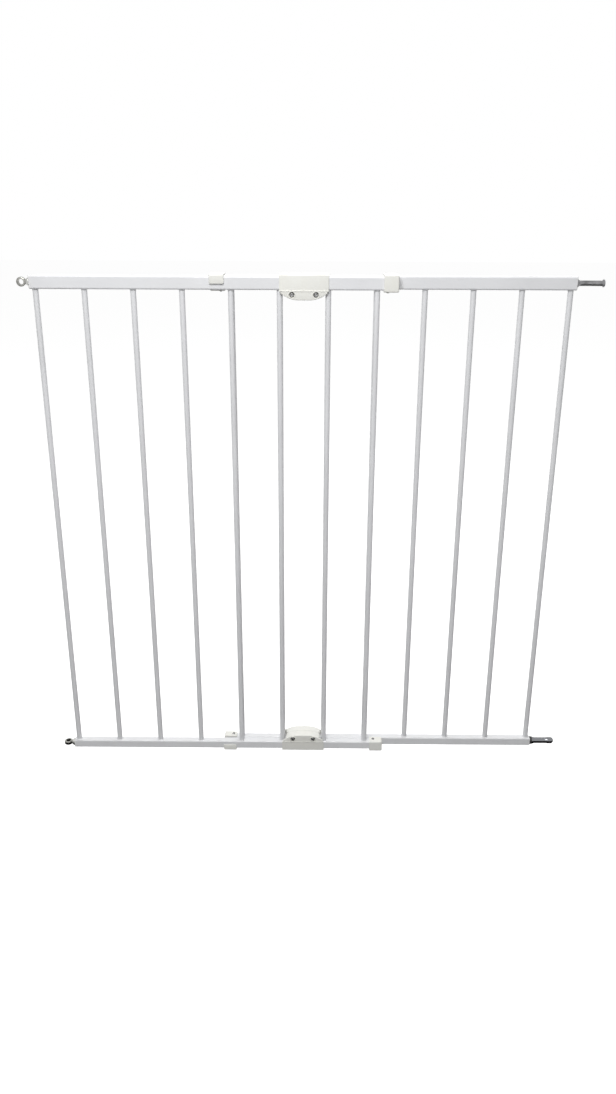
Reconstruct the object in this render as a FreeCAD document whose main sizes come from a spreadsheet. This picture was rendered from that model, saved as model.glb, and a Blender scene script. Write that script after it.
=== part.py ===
import FreeCAD, Part
import math
import os
import re
import Sketcher

# Hardware-mounted child safety gate: two welded bar panels that overlap and
# telescope, held together by two bolted centre clamps and four end guides.
# Frame: origin at the bore of the lower hinge eye, +X towards the latch side,
# +Y towards the back, +Z up. Millimetres.

V = FreeCAD.Vector
doc = FreeCAD.newDocument("safety_gate")
sheet = doc.addObject("Spreadsheet::Sheet", "sizes")

SIZES = [
    ("gate_height", 914.0, "lowest clamp face to highest clamp face"),
    ("bar_pitch", 81.2, "bar centre to bar centre"),
    ("bar_count", 8, "bars in each panel"),
    ("bar_dia", 9.5, "bar tube outside"),
    ("bar_wall", 0.8, "bar tube wall"),
    ("bar_fit", 0.1, "clearance round a bar in its rail hole"),
    ("extension_steps", 4, "pitches that the back panel is drawn out"),
    ("clamp_bay", 6, "bay of the front panel that holds the clamps"),
    ("rail_depth", 15.5, "all rails, front to back"),
    ("top_rail_height", 22.5, "upper rails"),
    ("bottom_rail_height", 15.5, "lower rails"),
    ("rail_wall", 1.2, "rail tube wall"),
    ("top_rail_radius", 3.0, "upper rail outside corner"),
    ("bottom_rail_radius", 2.0, "lower rail outside corner"),
    ("rail_gap", 0.8, "front rail to back rail"),
    ("rail_land", 0.75, "end bar to the rail's outer end"),
    ("rivet_hole_dia", 3.0, "vent hole under the upper front rail"),
    ("cap_flange", 3.4, "end cap outside the rail"),
    ("cap_plug_length", 20.0, "end cap inside the rail"),
    ("cap_fit", 0.2, "plug to the rail's inside"),
    ("cap_edge", 1.2, "rounding of the cap's outer edge"),
    ("thread_dia", 8.0, "threaded shank of eyes and pins"),
    ("shank_length", 24.0, "thread inside the panel end"),
    ("shank_fit", 0.3, "radial clearance round a shank in its cap"),
    ("thread_fit", 0.08, "radial running clearance in a thread"),
    ("insert_dia", 11.0, "threaded insert outside"),
    ("insert_length", 10.0, "threaded insert"),
    ("eye_reach", 13.4, "cap face to the eye centre"),
    ("eye_dia", 15.7, "eye ring outside"),
    ("eye_bore", 9.0, "eye ring bore"),
    ("eye_thickness", 7.0, "eye ring along its bore"),
    ("eye_edge", 1.4, "rounding of the eye ring"),
    ("nut_dia", 15.0, "flared lock nut at the cap"),
    ("nut_tip_dia", 10.6, "flared lock nut, small end"),
    ("nut_length", 4.6, "flared lock nut"),
    ("face_gap", 0.3, "between faces of pieces that turn"),
    ("upper_pin_dia", 9.1, "upper latch pin"),
    ("upper_pin_length", 46.4, "upper latch pin beyond the cap"),
    ("upper_pin_base_dia", 15.4, "flare at the upper pin's root"),
    ("upper_pin_base_length", 5.5, "flare at the upper pin's root"),
    ("upper_pin_rim_dia", 12.9, "rim at the upper pin's tip"),
    ("upper_pin_rim_length", 4.2, "rim and its flare"),
    ("collar_dia", 15.4, "collar at the lower pin's root"),
    ("collar_length", 3.6, "collar at the lower pin's root"),
    ("lower_pin_dia", 11.6, "lower latch pin"),
    ("lower_pin_nose_dia", 12.6, "lower latch pin nose"),
    ("lower_pin_nose_length", 12.6, "lower latch pin nose"),
    ("lower_pin_length", 47.9, "lower latch pin beyond the cap"),
    ("lower_pin_base_dia", 15.0, "flare at the lower pin's root"),
    ("lower_pin_base_length", 7.0, "flare at the lower pin's root"),
    ("guide_start", 10.6, "inner bar centre to the guide"),
    ("guide_length", 24.7, "guide along the rail"),
    ("guide_wall", 2.6, "guide wall"),
    ("guide_fit", 0.3, "guide to its own rail"),
    ("guide_run", 0.4, "guide lip to the sliding rail"),
    ("guide_radius", 2.4, "guide outside edges"),
    ("top_lip", 12.5, "upper guide lip on the other rail"),
    ("bottom_lip", 9.0, "lower guide lip on the other rail"),
    ("guide_screw_dia", 3.0, "guide screw shank"),
    ("guide_screw_head_dia", 5.6, "guide screw head"),
    ("guide_screw_head", 1.8, "guide screw head height"),
    ("guide_screw_inset", 7.0, "guide edge to its screw"),
    ("guide_screw_reach", 1.6, "guide screw beyond the rail wall"),
    ("screw_fit", 0.15, "radial clearance round a screw"),
    ("clamp_width", 82.5, "clamp along the rails"),
    ("clamp_wall", 2.6, "clamp wall"),
    ("clamp_fit", 0.3, "clamp to the rails"),
    ("clamp_gap", 0.3, "front shell to rear shell"),
    ("clamp_radius", 2.2, "clamp outside edges"),
    ("dome_width", 78.4, "dome plate beyond the rail"),
    ("dome_flat", 34.0, "flat middle of the dome"),
    ("dome_depth", 16.0, "dome beyond the rail"),
    ("dome_radius", 32.0, "curve at each end of the dome"),
    ("dome_step", 1.3, "ledge where the dome meets the clamp"),
    ("web_width", 66.4, "dome between the bars"),
    ("clamp_screw_spacing", 40.0, "between the two clamp screws"),
    ("clamp_screw_drop", 7.3, "rail face to the clamp screws"),
    ("clamp_screw_dia", 4.0, "clamp screw shank"),
    ("clamp_screw_head_dia", 7.8, "clamp screw head"),
    ("clamp_screw_head", 2.4, "clamp screw head height"),
    ("recess_dia", 10.0, "pocket round the screw head"),
    ("recess_depth", 3.2, "pocket round the screw head"),
    ("slot_lip", 1.2, "lip in front of the nut strip"),
    ("strip_room", 0.35, "nut strip to the bars that slide past it"),
    ("strip_height", 7.0, "nut strip"),
    ("strip_length", 54.0, "nut strip"),
    ("strip_fit", 0.2, "nut strip in its channel"),
    ("driver_slot", 0.9, "cross slot width in the screw heads"),
    ("driver_depth", 1.1, "cross slot depth"),
]
for row, (alias, value, note) in enumerate(SIZES, start=1):
    sheet.set(f"A{row}", alias)
    sheet.set(f"B{row}", str(value))
    sheet.set(f"C{row}", note)
    sheet.setAlias(f"B{row}", alias)
doc.recompute()

# Positions that follow from the sizes above.
DERIVED = {
    "rail_overhang": "bar_dia / 2 + rail_land",
    "first_bar_x": "eye_reach + cap_flange + rail_overhang",
    "last_bar_x": "first_bar_x + (bar_count - 1) * bar_pitch",
    "back_first_bar_x": "first_bar_x + extension_steps * bar_pitch",
    "back_last_bar_x": "last_bar_x + extension_steps * bar_pitch",
    "rail_tail": "guide_start + guide_length - guide_wall - guide_fit",
    "rail_length": "rail_overhang + (bar_count - 1) * bar_pitch + rail_tail",
    "back_y": "rail_depth + rail_gap",
    "mid_y": "back_y / 2",
    "half_depth": "rail_depth / 2",
    "half_top": "top_rail_height / 2",
    "half_bottom": "bottom_rail_height / 2",
    "top_z": "gate_height - half_bottom - half_top - 2 * clamp_fit - 2 * clamp_wall",
    "bar_length": "top_z - half_top - half_bottom + 2 * rail_wall",
    "bay_x": "first_bar_x + (clamp_bay - 0.5) * bar_pitch",
    "shell_edge": "mid_y - clamp_gap / 2",
    "shell_face": "half_depth + clamp_fit",
    "strip_y": "mid_y + clamp_gap / 2 + slot_lip + strip_fit",
    "strip_thickness": "back_y - bar_dia / 2 - strip_room - strip_y",
}
ALIASES = {alias for alias, value, note in SIZES}


def expand(text):
    """Write an expression of the sheet from short names."""
    def swap(match):
        word = match.group(0)
        if word in DERIVED:
            return "(" + expand(DERIVED[word]) + ")"
        if word in ALIASES:
            return "sizes." + word
        return word
    return re.sub(r"[a-z][a-z_]*[a-z]", swap, str(text))


def number(text):
    """Value of an expression in millimetres."""
    return float(sheet.evalExpression(expand(text)))


NODES = []
CUTS = []


def new_body(name, x="0", y="0", z="0", rotation=None):
    """A body whose label is its node name, placed by expressions."""
    body = doc.addObject("PartDesign::Body", name)
    body.Label = name
    if rotation is not None:
        body.Placement = FreeCAD.Placement(V(0, 0, 0), rotation)
    for axis, text in (("x", x), ("y", y), ("z", z)):
        if text != "0":
            body.setExpression("Placement.Base." + axis, expand(text))
    NODES.append(body)
    return body


def bind(sketch, index, text):
    """Tie a constraint to the sheet unless it is a plain constant."""
    if re.search(r"[a-z]", str(text)):
        sketch.setExpression(f"Constraints[{index}]", expand(text))


def add_circle(sketch, circle):
    """A circle given by centre and diameter."""
    x_text, y_text, dia_text = circle
    centre = V(number(x_text), number(y_text), 0)
    radius = number(dia_text) / 2
    geo = sketch.addGeometry(Part.Circle(centre, V(0, 0, 1), radius))
    index = sketch.addConstraint(Sketcher.Constraint("Radius", geo, radius))
    bind(sketch, index, f"({dia_text}) / 2")
    for kind, text, value in (("DistanceX", x_text, centre.x), ("DistanceY", y_text, centre.y)):
        index = sketch.addConstraint(Sketcher.Constraint(kind, -1, 1, geo, 3, value))
        bind(sketch, index, text)


def add_path(sketch, path):
    """A closed path; each corner is (x, y) or (x, y, radius of the arc that follows)."""
    count = len(path)
    spots = [V(number(corner[0]), number(corner[1]), 0) for corner in path]
    starts = []
    for i, corner in enumerate(path):
        here, there = spots[i], spots[(i + 1) % count]
        if len(corner) == 2:
            geo = sketch.addGeometry(Part.LineSegment(here, there))
            starts.append((geo, 1, 2))
            continue
        radius = number(corner[2])
        chord = there - here
        left = V(-chord.y, chord.x, 0).normalize()
        rise = math.sqrt(max(radius * radius - chord.Length ** 2 / 4, 0))
        side = 1 if corner[3] > 0 else -1
        centre = (here + there) * 0.5 + left * rise * side
        begin, finish = (here, there) if side > 0 else (there, here)
        first = math.atan2(begin.y - centre.y, begin.x - centre.x)
        last = math.atan2(finish.y - centre.y, finish.x - centre.x)
        if last <= first:
            last += 2 * math.pi
        arc = Part.ArcOfCircle(Part.Circle(centre, V(0, 0, 1), radius), first, last)
        geo = sketch.addGeometry(arc)
        starts.append((geo, 1, 2) if side > 0 else (geo, 2, 1))
    for i in range(count):
        geo, begin, finish = starts[i]
        after = starts[(i + 1) % count]
        sketch.addConstraint(Sketcher.Constraint("Coincident", geo, finish, after[0], after[1]))
    for i, corner in enumerate(path):
        geo, begin, finish = starts[i]
        for kind, text, value in (
            ("DistanceX", corner[0], spots[i].x),
            ("DistanceY", corner[1], spots[i].y),
        ):
            index = sketch.addConstraint(Sketcher.Constraint(kind, -1, 1, geo, begin, value))
            bind(sketch, index, text)
        if len(corner) > 2:
            radius = number(corner[2])
            index = sketch.addConstraint(Sketcher.Constraint("Radius", geo, radius))
            bind(sketch, index, corner[2])


def new_sketch(body, plane, offset, shapes):
    """A sketch on one of the body's origin planes."""
    sketch = body.newObject("Sketcher::SketchObject", body.Name + "_sketch")
    support = [item for item in body.Origin.OriginFeatures if item.Role == plane][0]
    sketch.AttachmentSupport = [(support, "")]
    sketch.MapMode = "FlatFace"
    if str(offset) != "0":
        sketch.setExpression("AttachmentOffset.Base.z", expand(offset))
    for shape in shapes:
        if isinstance(shape, tuple):
            add_circle(sketch, shape)
        else:
            add_path(sketch, shape)
    return sketch


def pad(body, plane, low, high, shapes):
    """Material between two stations along the plane's axis."""
    offset = f"-({high})" if plane == "XZ_Plane" else low
    feature = body.newObject("PartDesign::Pad", body.Name + "_pad")
    feature.Profile = new_sketch(body, plane, offset, shapes)
    feature.setExpression("Length", expand(f"({high}) - ({low})"))
    return feature


def pocket(body, plane, low, high, shapes):
    """A cut between two stations along the plane's axis."""
    offset = f"-({low})" if plane == "XZ_Plane" else high
    base = body.Tip
    feature = body.newObject("PartDesign::Pocket", body.Name + "_cut")
    feature.Profile = new_sketch(body, plane, offset, shapes)
    feature.setExpression("Length", expand(f"({high}) - ({low})"))
    CUTS.append((feature, base))
    return feature


def turn(body, path):
    """A turned solid about the body's X axis; the path is (x, radius)."""
    feature = body.newObject("PartDesign::Revolution", body.Name + "_turn")
    sketch = new_sketch(body, "XZ_Plane", "0", [path])
    feature.Profile = sketch
    feature.ReferenceAxis = (sketch, ["H_Axis"])
    feature.Angle = 360.0
    return feature


def soften(body, radius, chosen):
    """Fillet the edges of the body's tip that the test picks."""
    doc.recompute()
    base = body.Tip
    names = [f"Edge{i}" for i, edge in enumerate(base.Shape.Edges, start=1) if chosen(edge)]
    feature = body.newObject("PartDesign::Fillet", body.Name + "_round")
    feature.Base = (base, names)
    feature.setExpression("Radius", expand(radius))
    return feature


def box_path(x_low, x_high, y_low, y_high):
    """A plain rectangle."""
    return [(x_low, y_low), (x_high, y_low), (x_high, y_high), (x_low, y_high)]


def round_path(half_x, half_y, radius):
    """A rectangle about the origin with round corners."""
    low_x, high_x = f"-({half_x}) + {radius}", f"({half_x}) - {radius}"
    low_y, high_y = f"-({half_y}) + {radius}", f"({half_y}) - {radius}"
    return [
        (low_x, f"-({half_y})"),
        (high_x, f"-({half_y})", radius, 1),
        (half_x, low_y),
        (half_x, high_y, radius, 1),
        (high_x, half_y),
        (low_x, half_y, radius, 1),
        (f"-({half_x})", high_y),
        (f"-({half_x})", low_y, radius, 1),
    ]


def cross_path(width, reach):
    """A cross for a screwdriver."""
    w, r = f"({width}) / 2", f"({reach}) / 2"
    return [
        (f"-{w}", f"-{r}"), (w, f"-{r}"), (w, f"-{w}"), (r, f"-{w}"), (r, w), (w, w),
        (w, r), (f"-{w}", r), (f"-{w}", w), (f"-{r}", w), (f"-{r}", f"-{w}"),
        (f"-{w}", f"-{w}"),
    ]


def mirrored(path, flip):
    """The same path with its second value turned over where flip is -1."""
    if flip > 0:
        return path
    points = [(corner[0], f"-({corner[1]})") for corner in path]
    arcs = [corner[2:] for corner in path]
    count = len(path)
    turned = []
    for i in range(count):
        source = count - 1 - i
        before = arcs[(source - 1) % count]
        turned.append(points[source] + tuple(before))
    return turned


BAR_COUNT = int(number("bar_count"))
LEVELS = {
    "top": dict(z="top_z", half="half_top", radius="top_rail_radius", up=1, lip="top_lip"),
    "bottom": dict(z="0", half="half_bottom", radius="bottom_rail_radius", up=-1, lip="bottom_lip"),
}
PANELS = {
    "front": dict(y="0", side=1, first="first_bar_x"),
    "back": dict(y="back_y", side=-1, first="back_first_bar_x"),
}


def make_rail(panel, level):
    """Rail tube with one hole for each bar and one for its guide screw."""
    place, row = PANELS[panel], LEVELS[level]
    before = "rail_overhang" if panel == "front" else "rail_tail"
    body = new_body(f"{panel}_{level}_rail", x=f"{place['first']} - ({before})",
                    y=place["y"], z=row["z"])
    outer = round_path("half_depth", row["half"], row["radius"])
    pad(body, "YZ_Plane", "0", "rail_length", [outer])
    bore = round_path("half_depth - rail_wall", f"{row['half']} - rail_wall",
                      f"({row['radius']} - rail_wall)")
    pocket(body, "YZ_Plane", "0", "rail_length", [bore])
    holes = [(f"({before}) + {i} * bar_pitch", "0", "bar_dia + 2 * bar_fit")
             for i in range(BAR_COUNT)]
    guide_edge = "rail_overhang + (bar_count - 1) * bar_pitch + guide_start + guide_screw_inset"
    if panel == "back":
        guide_edge = "rail_length - (" + guide_edge + ")"
    holes.append((guide_edge, "0", "guide_screw_dia + 2 * screw_fit"))
    if panel == "front" and level == "top":
        holes.append((f"({before}) + 2.35 * bar_pitch", "half_depth / 2 - rail_wall * 4",
                      "rivet_hole_dia"))
    if row["up"] > 0:
        pocket(body, "XY_Plane", f"-({row['half']})", f"-({row['half']}) + rail_wall", holes)
    else:
        pocket(body, "XY_Plane", f"{row['half']} - rail_wall", row["half"], holes)


def make_bar(panel, index):
    """Round bar whose ends sit in the rail walls."""
    place = PANELS[panel]
    body = new_body(f"{panel}_bar_{index + 1}", x=f"{place['first']} + {index} * bar_pitch",
                    y=place["y"], z="half_bottom - rail_wall")
    circles = [("0", "0", "bar_dia"), ("0", "0", "bar_dia - 2 * bar_wall")]
    pad(body, "XY_Plane", "0", "bar_length", circles)


def make_cap(panel, level):
    """Plastic cap with a plug in the rail, bored for the threaded shank."""
    place, row = PANELS[panel], LEVELS[level]
    out = -1 if panel == "front" else 1
    side = "hinge" if panel == "front" else "latch"
    upper = "upper" if level == "top" else "lower"
    end_x = "first_bar_x - rail_overhang" if out < 0 else "back_last_bar_x + rail_overhang"
    spin = FreeCAD.Rotation(V(0, 0, 1), 180 if out < 0 else 0)
    body = new_body(f"{upper}_{side}_cap", x=end_x, y=place["y"], z=row["z"], rotation=spin)
    pad(body, "YZ_Plane", "0", "cap_flange", [round_path("half_depth", row["half"], row["radius"])])
    soften(body, "cap_edge", lambda edge: edge.CenterOfMass.x > number("cap_flange") - 0.01)
    plug = round_path("half_depth - rail_wall - cap_fit", f"{row['half']} - rail_wall - cap_fit",
                      f"({row['radius']} - rail_wall)")
    pad(body, "YZ_Plane", "-cap_plug_length", "0", [plug])
    pocket(body, "YZ_Plane", "-cap_plug_length", "cap_flange",
           [("0", "0", "thread_dia + 2 * shank_fit")])
    pocket(body, "YZ_Plane", "-cap_plug_length", "-cap_plug_length + insert_length",
           [("0", "0", "insert_dia")])
    insert = new_body(f"{upper}_{side}_insert", x=end_x, y=place["y"], z=row["z"], rotation=spin)
    pad(insert, "YZ_Plane", "-cap_plug_length", "-cap_plug_length + insert_length",
        [("0", "0", "insert_dia"), ("0", "0", "thread_dia + 2 * thread_fit")])


def make_eye(level):
    """Eye bolt: ring, neck and threaded shank in one forged piece."""
    row = LEVELS[level]
    upper = "upper" if level == "top" else "lower"
    body = new_body(f"{upper}_hinge_eye", z=row["z"])
    plane = "XZ_Plane" if level == "top" else "XY_Plane"
    pad(body, plane, "-eye_thickness / 2", "eye_thickness / 2", [("0", "0", "eye_dia")])
    soften(body, "eye_edge", lambda edge: True)
    turn(body, [
        ("eye_bore / 2 + 0.8", "0"),
        ("eye_reach + shank_length", "0"),
        ("eye_reach + shank_length", "thread_dia / 2 - 0.8"),
        ("eye_reach + shank_length - 0.8", "thread_dia / 2"),
        ("eye_dia / 2 + 0.6", "thread_dia / 2"),
        ("eye_bore / 2 + 0.8", "thread_dia / 2 - 0.6"),
    ])
    pocket(body, plane, "-eye_thickness", "eye_thickness", [("0", "0", "eye_bore")])
    nut = new_body(f"{upper}_hinge_nut", x="eye_reach", z=row["z"],
                   rotation=FreeCAD.Rotation(V(0, 0, 1), 180))
    bore = "(thread_dia / 2 + thread_fit)"
    turn(nut, [
        ("0", bore),
        ("nut_length", bore),
        ("nut_length", "nut_tip_dia / 2"),
        ("0.9", "nut_dia / 2"),
        ("0", "nut_dia / 2"),
    ])


def make_pins():
    """Latch pins at the two outer ends of the back panel."""
    face = "back_last_bar_x + rail_overhang + cap_flange"
    body = new_body("upper_latch_pin", x=face, y="back_y", z="top_z")
    turn(body, [
        ("-shank_length", "0"),
        ("upper_pin_length", "0"),
        ("upper_pin_length", "upper_pin_rim_dia / 2 - 1.2"),
        ("upper_pin_length - 1.2", "upper_pin_rim_dia / 2"),
        ("upper_pin_length - 2.2", "upper_pin_rim_dia / 2"),
        ("upper_pin_length - upper_pin_rim_length", "upper_pin_dia / 2"),
        ("upper_pin_base_length", "upper_pin_dia / 2", "upper_pin_base_length * 1.6", -1),
        ("face_gap + 0.8", "upper_pin_base_dia / 2"),
        ("face_gap", "upper_pin_base_dia / 2"),
        ("face_gap", "thread_dia / 2"),
        ("-shank_length + 0.8", "thread_dia / 2"),
        ("-shank_length", "thread_dia / 2 - 0.8"),
    ])
    collar = new_body("lower_latch_collar", x=face, y="back_y")
    turn(collar, [
        ("0", "thread_dia / 2 + shank_fit"),
        ("collar_length", "thread_dia / 2 + shank_fit"),
        ("collar_length", "collar_dia / 2 - 0.5"),
        ("collar_length - 0.5", "collar_dia / 2"),
        ("0", "collar_dia / 2"),
    ])
    pin = new_body("lower_latch_pin", x=face, y="back_y")
    root = "(collar_length + face_gap)"
    turn(pin, [
        ("-shank_length", "0"),
        ("lower_pin_length", "0"),
        ("lower_pin_length", "lower_pin_nose_dia / 2 - 4", "4", -1),
        ("lower_pin_length - 4", "lower_pin_nose_dia / 2"),
        ("lower_pin_length - lower_pin_nose_length", "lower_pin_nose_dia / 2"),
        ("lower_pin_length - lower_pin_nose_length - 1", "lower_pin_dia / 2"),
        (f"{root} + lower_pin_base_length", "lower_pin_dia / 2",
         "lower_pin_base_length * 2.2", -1),
        (f"{root} + 1", "lower_pin_base_dia / 2"),
        (root, "lower_pin_base_dia / 2"),
        (root, "thread_dia / 2"),
        ("-shank_length + 0.8", "thread_dia / 2"),
        ("-shank_length", "thread_dia / 2 - 0.8"),
    ])


def make_screw(name, x, y, z, rotation, dia, head_dia, head, length):
    """Pan-head screw along the body's X axis, head below zero."""
    body = new_body(name, x=x, y=y, z=z, rotation=rotation)
    turn(body, [
        (f"-({head})", "0"),
        (length, "0"),
        (length, f"({dia}) / 2 - 0.4"),
        (f"{length} - 0.4", f"({dia}) / 2"),
        ("0", f"({dia}) / 2"),
        ("0", f"({head_dia}) / 2"),
        (f"-({head}) * 0.45", f"({head_dia}) / 2"),
        (f"-({head})", f"({head_dia}) / 2 - ({head}) * 0.5"),
    ])
    pocket(body, "YZ_Plane", f"-({head}) - 0.5", f"-({head}) + driver_depth",
           [cross_path("driver_slot", f"({head_dia}) * 0.55")])


def make_guide(panel, level):
    """Box on the rail's inner end, with a hook over the other panel's rail."""
    place, row = PANELS[panel], LEVELS[level]
    side, up = place["side"], row["up"]
    name = f"{panel}_{level}_guide"
    edge = "last_bar_x + guide_start" if panel == "front" else "back_first_bar_x - guide_start"
    body = new_body(name, x=edge, y=place["y"], z=row["z"])
    near = "(half_depth + guide_fit)"
    skin = "(half_depth + guide_fit + guide_wall)"
    far = "(back_y + half_depth + guide_run)"
    lift = f"({row['half']} + guide_fit)"
    crest = f"({row['half']} + guide_fit + guide_wall)"
    r = "guide_radius"
    hook = [
        (f"-{skin} + {r}", f"-{crest}"),
        ("half_depth", f"-{crest}"),
        ("half_depth", f"-{lift}"),
        (f"-{near}", f"-{lift}"),
        (f"-{near}", lift),
        (far, lift),
        (far, f"{lift} - {row['lip']}"),
        (f"{far} + guide_wall", f"{lift} - {row['lip']}"),
        (f"{far} + guide_wall", f"{crest} - {r}", r, 1),
        (f"{far} + guide_wall - {r}", crest),
        (f"-{skin} + {r}", crest, r, 1),
        (f"-{skin}", f"{crest} - {r}"),
        (f"-{skin}", f"-{crest} + {r}", r, 1),
    ]
    wall = [
        (f"-{skin} + {r}", f"-{crest}"),
        ("half_depth", f"-{crest}"),
        ("half_depth", crest),
        (f"-{skin} + {r}", crest, r, 1),
        (f"-{skin}", f"{crest} - {r}"),
        (f"-{skin}", f"-{crest} + {r}", r, 1),
    ]
    shaped = []
    for path in (hook, wall):
        path = mirrored(path, up)
        if side < 0:
            swapped = mirrored([(c[1], c[0]) + tuple(c[2:]) for c in path], -1)
            path = [(c[1], c[0]) + tuple(c[2:]) for c in swapped]
        shaped.append(path)
    if side > 0:
        pad(body, "YZ_Plane", "0", "guide_length", [shaped[0]])
        pad(body, "YZ_Plane", "guide_length - guide_wall", "guide_length", [shaped[1]])
    else:
        pad(body, "YZ_Plane", "-guide_length", "0", [shaped[0]])
        pad(body, "YZ_Plane", "-guide_length", "-guide_length + guide_wall", [shaped[1]])
    screw_x = "guide_screw_inset" if side > 0 else "-guide_screw_inset"
    hole = (screw_x, "0", "guide_screw_dia + 2 * screw_fit")
    if up > 0:
        pocket(body, "XY_Plane", f"-{crest}", f"-{lift}", [hole])
    else:
        pocket(body, "XY_Plane", lift, crest, [hole])
    end_x = number("guide_length") * side
    outer_y = -number(skin) * side

    def at_corner(edge):
        spot = edge.CenterOfMass
        tall = abs(edge.Vertexes[0].Point.z - edge.Vertexes[-1].Point.z) > 8
        return abs(spot.x - end_x) < 0.01 and abs(spot.y - outer_y) < 0.01 and tall

    soften(body, "guide_radius * 0.9", at_corner)
    reach = "(guide_wall + guide_fit + rail_wall + guide_screw_reach)"
    angle = -90 if up > 0 else 90
    level_z = f"{row['z']} - {crest}" if up > 0 else f"{row['z']} + {crest}"
    make_screw(f"{name}_screw", f"{edge} + ({screw_x})", place["y"], level_z,
               FreeCAD.Rotation(V(0, 1, 0), angle), "guide_screw_dia",
               "guide_screw_head_dia", "guide_screw_head", reach)


def dome_edge(half):
    """Depth of the dome's curve at a half width."""
    run = f"({half} - dome_flat / 2)"
    return f"(dome_depth - dome_radius + sqrt(dome_radius * dome_radius - {run} * {run}))"


def make_clamp(level):
    """Centre clamp: front shell, rear shell, two screws and a nut strip."""
    row = LEVELS[level]
    up, half, base_z = row["up"], row["half"], row["z"]
    upper = "upper" if level == "top" else "lower"
    cw, dw, ww = "(clamp_width / 2)", "(dome_width / 2)", "(web_width / 2)"
    flat = "(dome_flat / 2)"
    roof = f"({half} + clamp_fit)"
    crest = f"({half} + clamp_fit + clamp_wall)"
    ledge = f"({half} + clamp_fit + dome_step)"
    keel = f"({half} + dome_depth)"
    plate = [
        (f"-{flat}", f"-{keel}"),
        (flat, f"-{keel}", "dome_radius", 1),
        (dw, f"-({half} + {dome_edge(dw)})"),
        (dw, f"-{ledge}"),
        (cw, f"-{ledge}"),
        (cw, crest),
        (f"-{cw}", crest),
        (f"-{cw}", f"-{ledge}"),
        (f"-{dw}", f"-{ledge}"),
        (f"-{dw}", f"-({half} + {dome_edge(dw)})", "dome_radius", 1),
    ]
    web = [
        (f"-{flat}", f"-{keel}"),
        (flat, f"-{keel}", "dome_radius", 1),
        (ww, f"-({half} + {dome_edge(ww)})"),
        (ww, f"-{roof}"),
        (f"-{ww}", f"-{roof}"),
        (f"-{ww}", f"-({half} + {dome_edge(ww)})", "dome_radius", 1),
    ]
    lid = mirrored(box_path(f"-{cw}", cw, roof, crest), up)
    plate, web = mirrored(plate, up), mirrored(web, up)
    screw_z = f"(-({half} + clamp_screw_drop))" if up > 0 else f"({half} + clamp_screw_drop)"
    spots = [("-clamp_screw_spacing / 2", screw_z), ("clamp_screw_spacing / 2", screw_z)]
    skin = "(shell_face + clamp_wall)"
    front = new_body(f"{upper}_clamp_front", x="bay_x", z=base_z)
    pad(front, "XZ_Plane", f"-{skin}", "-shell_face", [plate])
    crest_z = number(crest) * up

    def outer_edge(edge):
        spot = edge.CenterOfMass
        level_edge = abs(spot.z - crest_z) < 0.01 and abs(spot.y + number(skin)) < 0.01
        return level_edge

    soften(front, "clamp_radius", outer_edge)
    pad(front, "XZ_Plane", "-shell_face", "shell_edge", [lid])
    pad(front, "XZ_Plane", "-shell_face", "shell_edge", [web])
    pocket(front, "XZ_Plane", f"-{skin}", f"-{skin} + recess_depth",
           [(x, z, "recess_dia") for x, z in spots])
    pocket(front, "XZ_Plane", f"-{skin} + recess_depth", "shell_edge",
           [(x, z, "clamp_screw_dia + 2 * screw_fit") for x, z in spots])
    rear = new_body(f"{upper}_clamp_rear", x="bay_x", z=base_z)
    pad(rear, "XZ_Plane", "back_y + shell_face", f"back_y + {skin}", [plate])

    def rear_edge(edge):
        spot = edge.CenterOfMass
        return (abs(spot.z - crest_z) < 0.01
                and abs(spot.y - number(f"back_y + {skin}")) < 0.01)

    soften(rear, "clamp_radius", rear_edge)
    inner = "(shell_edge + clamp_gap)"
    pad(rear, "XZ_Plane", inner, "back_y + shell_face", [lid])
    pad(rear, "XZ_Plane", inner, "back_y + shell_face", [web])
    slot_half = "(clamp_screw_dia / 2 + 2 * strip_fit)"
    strip_half = "(strip_height / 2 + strip_fit)"
    slot = box_path(f"-{cw}", cw, f"{screw_z} - {slot_half}", f"{screw_z} + {slot_half}")
    pocket(rear, "XZ_Plane", inner, f"{inner} + slot_lip", [slot])
    channel = box_path(f"-{cw}", cw, f"{screw_z} - {strip_half}", f"{screw_z} + {strip_half}")
    pocket(rear, "XZ_Plane", f"{inner} + slot_lip",
           f"{inner} + slot_lip + strip_thickness + 2 * strip_fit", [channel])
    strip = new_body(f"{upper}_clamp_nut_strip", x="bay_x", y="strip_y", z=f"{base_z} + {screw_z}")
    holes = [(x, "0", "clamp_screw_dia + 2 * screw_fit") for x, z in spots]
    pad(strip, "XZ_Plane", "0", "strip_thickness",
        [box_path("-strip_length / 2", "strip_length / 2", "-strip_height / 2",
                  "strip_height / 2")] + holes)
    for number_, (x, z) in enumerate(spots, start=1):
        seat = f"-{skin} + recess_depth"
        make_screw(f"{upper}_clamp_screw_{number_}", f"bay_x + ({x})", seat,
                   f"{base_z} + {screw_z}", FreeCAD.Rotation(V(0, 0, 1), 90),
                   "clamp_screw_dia", "clamp_screw_head_dia", "clamp_screw_head",
                   f"(strip_y + strip_thickness - ({seat}) + 0.05)")


for panel in PANELS:
    for level in LEVELS:
        make_rail(panel, level)
    for index in range(BAR_COUNT):
        make_bar(panel, index)
for panel in PANELS:
    for level in LEVELS:
        make_cap(panel, level)
        make_guide(panel, level)
for level in LEVELS:
    make_eye(level)
    make_clamp(level)
make_pins()
doc.recompute()

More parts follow.
